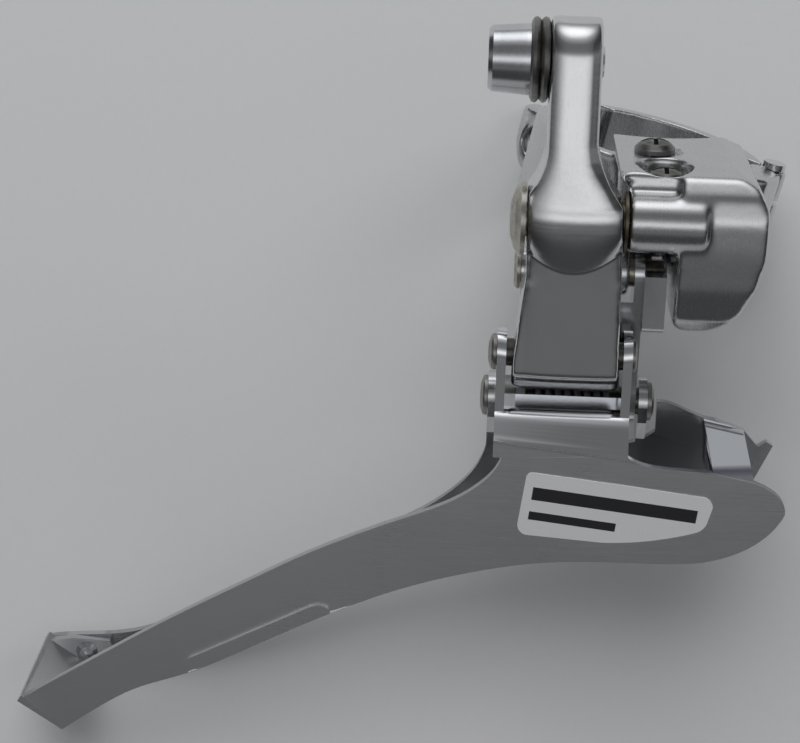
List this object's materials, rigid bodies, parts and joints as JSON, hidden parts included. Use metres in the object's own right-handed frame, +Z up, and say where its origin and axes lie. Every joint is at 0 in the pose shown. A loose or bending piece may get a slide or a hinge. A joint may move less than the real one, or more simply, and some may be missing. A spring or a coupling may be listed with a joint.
{
  "type": "bicycle front derailleur",
  "caption": "Clamp-on road front derailleur: hinged seat-tube clamp, swinging parallelogram links, cable arm and long curved chain cage with riveted ends.",
  "frame": {"origin": "on the seat tube axis at mid height of the clamp", "axes": "+Z up the seat tube, +X towards the front of the bicycle, +Y towards its left side, away from the chainrings"},
  "size_m": [0.1022, 0.0725, 0.1225],
  "materials": {
    "polished_alloy": "polished forging",
    "chromed_plate": "chrome over fine brushing",
    "bright_steel": "bright plated",
    "dull_nickel": "aged nickel",
    "spring_steel": "drawn wire",
    "bushing": "turned",
    "printed_label": "printed film"
  },
  "bodies": {
    "base": {"base_bracket": "polished_alloy", "clamp_hinge_pin": "bright_steel", "upper_outer_pin": "dull_nickel", "upper_inner_pin": "dull_nickel"},
    "clamp_band": {"clamp_band": "polished_alloy"},
    "clamp_bolt": {"clamp_bolt": "bright_steel", "clamp_bolt_washer": "dull_nickel"},
    "low_limit_screw": {"low_limit_screw": "dull_nickel"},
    "high_limit_screw": {"high_limit_screw": "dull_nickel"},
    "outer_link": {"outer_link": "polished_alloy", "upper_pivot_bush": "bushing"},
    "cable_anchor": {"cable_anchor_bolt": "bright_steel", "cable_clamp_washer": "dull_nickel"},
    "inner_link": {"inner_link": "bright_steel", "return_spring": "spring_steel"},
    "cage": {"cage_outer_plate": "chromed_plate", "cage_inner_plate": "chromed_plate", "bridge_rivet": "bright_steel", "tail_rivet": "bright_steel", "lower_outer_pin": "dull_nickel", "lower_inner_pin": "dull_nickel", "lower_pivot_spacer": "bright_steel", "side_label": "printed_label"}
  },
  "joints": [
    {"name": "outer_link_pivot", "type": "hinge", "parent": "base", "child": "outer_link", "pos_m": [-0.0114, -0.037, 0.00218], "axis": [-0.9781, 0, -0.2079], "range_deg": [0, 35]},
    {"name": "inner_link_pivot", "type": "hinge", "parent": "base", "child": "inner_link", "pos_m": [-0.00938, -0.029, -0.00731], "axis": [-0.9781, 0, -0.2079], "range_deg": [0, 35]},
    {"name": "cage_pivot", "type": "hinge", "parent": "inner_link", "child": "cage", "pos_m": [-0.00514, -0.02704, -0.02727], "axis": [-0.9781, 0, -0.2079], "range_deg": [-35, 0]},
    {"name": "clamp_bolt_travel", "type": "slide", "parent": "base", "child": "clamp_bolt", "axis": [0.5, 0.866, 0], "range_m": [0, 0.006]},
    {"name": "clamp_band_hinge", "type": "hinge", "parent": "base", "child": "clamp_band", "pos_m": [0.0196, 0, 0], "axis": [0, 0, -1], "range_deg": [0, 5]},
    {"name": "low_limit_screw_turn", "type": "hinge", "parent": "base", "child": "low_limit_screw", "pos_m": [-0.00074, -0.0255, 0.00444], "axis": [-0.2079, 0, 0.9781], "range_deg": [-360, 360]},
    {"name": "high_limit_screw_turn", "type": "hinge", "parent": "base", "child": "high_limit_screw", "pos_m": [0.00043, -0.0323, 0.00469], "axis": [-0.2079, 0, 0.9781], "range_deg": [-360, 360]},
    {"name": "cable_anchor_travel", "type": "slide", "parent": "outer_link", "child": "cable_anchor", "axis": [-0.9781, 0, -0.2079], "range_m": [0, 0.0016]}
  ],
  "couplings": [
    {"joint": "inner_link_pivot", "follows": "outer_link_pivot", "ratio": 1},
    {"joint": "cage_pivot", "follows": "outer_link_pivot", "ratio": -1},
    {"joint": "clamp_band_hinge", "follows": "clamp_bolt_travel", "rad_per_m": 14.524}
  ]
}
